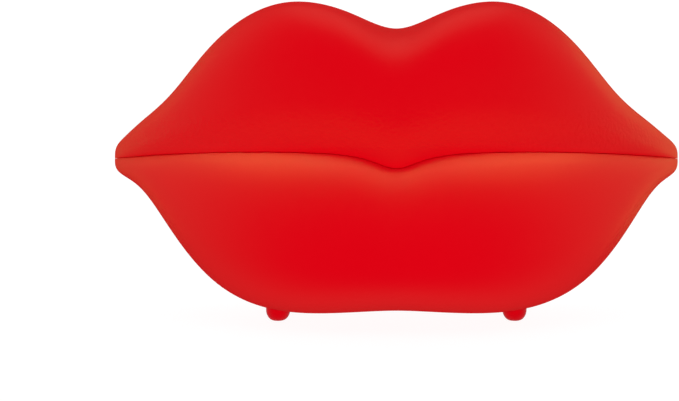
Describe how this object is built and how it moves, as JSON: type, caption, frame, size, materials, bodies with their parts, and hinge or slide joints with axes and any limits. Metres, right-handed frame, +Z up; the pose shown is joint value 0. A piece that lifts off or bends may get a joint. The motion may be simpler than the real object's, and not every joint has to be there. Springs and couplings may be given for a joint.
{
  "type": "novelty telephone",
  "caption": "Corded novelty telephone shaped as a pair of full red lips: the upper lip lifts off as the handset with a keypad beneath, and the lower lip is the base with hook and sockets.",
  "frame": {"origin": "on the table under the middle of the telephone", "axes": "+X to the right along the lips, +Y to the back, +Z up; the lips face -Y"},
  "size_m": [0.24, 0.0959, 0.1254],
  "materials": {
    "lip_plastic": "satin-gloss moulded red",
    "inner_plastic": "fine satin red",
    "foot_rubber": "satin red rubber",
    "pad_rubber": "matt black rubber",
    "steel": "zinc plated",
    "board": "solder mask over laminate",
    "socket_plastic": "moulded black",
    "knob_plastic": "moulded white",
    "key_plastic": "satin ivory",
    "contact_metal": "plain phosphor bronze",
    "capsule_metal": "plain can"
  },
  "bodies": {
    "base": {"base_shell": "lip_plastic", "cradle_deck": "inner_plastic", "foot_front_left": "foot_rubber", "foot_front_right": "foot_rubber", "foot_back_left": "foot_rubber", "foot_back_right": "foot_rubber", "cradle_pad_left": "pad_rubber", "cradle_pad_right": "pad_rubber", "base_screws": "steel", "ballast_weight": "steel", "base_board": "board", "line_jack": "socket_plastic", "base_cord_jack": "socket_plastic", "ringer_switch": "socket_plastic", "tone_switch": "socket_plastic", "sounder": "socket_plastic", "hook_block": "socket_plastic", "hook_leaf": "contact_metal", "hook_contact": "contact_metal"},
    "handset": {"handset_shell": "lip_plastic", "handset_faceplate": "inner_plastic", "handset_screws": "steel", "key_board": "board", "key_mat": "pad_rubber", "handset_cord_jack": "socket_plastic", "receiver": "capsule_metal", "receiver_gasket": "pad_rubber", "microphone": "capsule_metal", "microphone_boot": "pad_rubber"},
    "hook_plunger": {"hook_plunger": "key_plastic"},
    "ringer_knob": {"ringer_knob": "knob_plastic"},
    "tone_knob": {"tone_knob": "knob_plastic"},
    "key_1": {"key_1": "key_plastic"},
    "key_2": {"key_2": "key_plastic"},
    "key_3": {"key_3": "key_plastic"},
    "key_4": {"key_4": "key_plastic"},
    "key_5": {"key_5": "key_plastic"},
    "key_6": {"key_6": "key_plastic"},
    "key_7": {"key_7": "key_plastic"},
    "key_8": {"key_8": "key_plastic"},
    "key_9": {"key_9": "key_plastic"},
    "key_star": {"key_star": "key_plastic"},
    "key_0": {"key_0": "key_plastic"},
    "key_hash": {"key_hash": "key_plastic"},
    "key_mute": {"key_mute": "key_plastic"},
    "key_flash": {"key_flash": "key_plastic"},
    "key_redial": {"key_redial": "key_plastic"}
  },
  "joints": [
    {"name": "handset_lift", "type": "slide", "parent": "base", "child": "handset", "axis": [0, 0, 1], "range_m": [0, 0.1]},
    {"name": "hook_plunger_rise", "type": "slide", "parent": "base", "child": "hook_plunger", "axis": [0, 0, 1], "range_m": [0, 0.004], "deforming": ["hook_leaf"]},
    {"name": "ringer_knob_slide", "type": "slide", "parent": "base", "child": "ringer_knob", "axis": [1, 0, 0], "range_m": [0, 0.003]},
    {"name": "tone_knob_slide", "type": "slide", "parent": "base", "child": "tone_knob", "axis": [1, 0, 0], "range_m": [0, 0.0022]},
    {"name": "key_1_press", "type": "slide", "parent": "handset", "child": "key_1", "axis": [0, 0, 1], "range_m": [0, 0.0012], "stiffness_N_per_m": 400, "deforming": ["key_mat"]},
    {"name": "key_2_press", "type": "slide", "parent": "handset", "child": "key_2", "axis": [0, 0, 1], "range_m": [0, 0.0012], "stiffness_N_per_m": 400, "deforming": ["key_mat"]},
    {"name": "key_3_press", "type": "slide", "parent": "handset", "child": "key_3", "axis": [0, 0, 1], "range_m": [0, 0.0012], "stiffness_N_per_m": 400, "deforming": ["key_mat"]},
    {"name": "key_4_press", "type": "slide", "parent": "handset", "child": "key_4", "axis": [0, 0, 1], "range_m": [0, 0.0012], "stiffness_N_per_m": 400, "deforming": ["key_mat"]},
    {"name": "key_5_press", "type": "slide", "parent": "handset", "child": "key_5", "axis": [0, 0, 1], "range_m": [0, 0.0012], "stiffness_N_per_m": 400, "deforming": ["key_mat"]},
    {"name": "key_6_press", "type": "slide", "parent": "handset", "child": "key_6", "axis": [0, 0, 1], "range_m": [0, 0.0012], "stiffness_N_per_m": 400, "deforming": ["key_mat"]},
    {"name": "key_7_press", "type": "slide", "parent": "handset", "child": "key_7", "axis": [0, 0, 1], "range_m": [0, 0.0012], "stiffness_N_per_m": 400, "deforming": ["key_mat"]},
    {"name": "key_8_press", "type": "slide", "parent": "handset", "child": "key_8", "axis": [0, 0, 1], "range_m": [0, 0.0012], "stiffness_N_per_m": 400, "deforming": ["key_mat"]},
    {"name": "key_9_press", "type": "slide", "parent": "handset", "child": "key_9", "axis": [0, 0, 1], "range_m": [0, 0.0012], "stiffness_N_per_m": 400, "deforming": ["key_mat"]},
    {"name": "key_star_press", "type": "slide", "parent": "handset", "child": "key_star", "axis": [0, 0, 1], "range_m": [0, 0.0012], "stiffness_N_per_m": 400, "deforming": ["key_mat"]},
    {"name": "key_0_press", "type": "slide", "parent": "handset", "child": "key_0", "axis": [0, 0, 1], "range_m": [0, 0.0012], "stiffness_N_per_m": 400, "deforming": ["key_mat"]},
    {"name": "key_hash_press", "type": "slide", "parent": "handset", "child": "key_hash", "axis": [0, 0, 1], "range_m": [0, 0.0012], "stiffness_N_per_m": 400, "deforming": ["key_mat"]},
    {"name": "key_mute_press", "type": "slide", "parent": "handset", "child": "key_mute", "axis": [0, 0, 1], "range_m": [0, 0.0012], "stiffness_N_per_m": 400, "deforming": ["key_mat"]},
    {"name": "key_flash_press", "type": "slide", "parent": "handset", "child": "key_flash", "axis": [0, 0, 1], "range_m": [0, 0.0012], "stiffness_N_per_m": 400, "deforming": ["key_mat"]},
    {"name": "key_redial_press", "type": "slide", "parent": "handset", "child": "key_redial", "axis": [0, 0, 1], "range_m": [0, 0.0012], "stiffness_N_per_m": 400, "deforming": ["key_mat"]}
  ],
  "couplings": [
    {"joint": "hook_plunger_rise", "follows": "handset_lift", "ratio": 0.04}
  ]
}
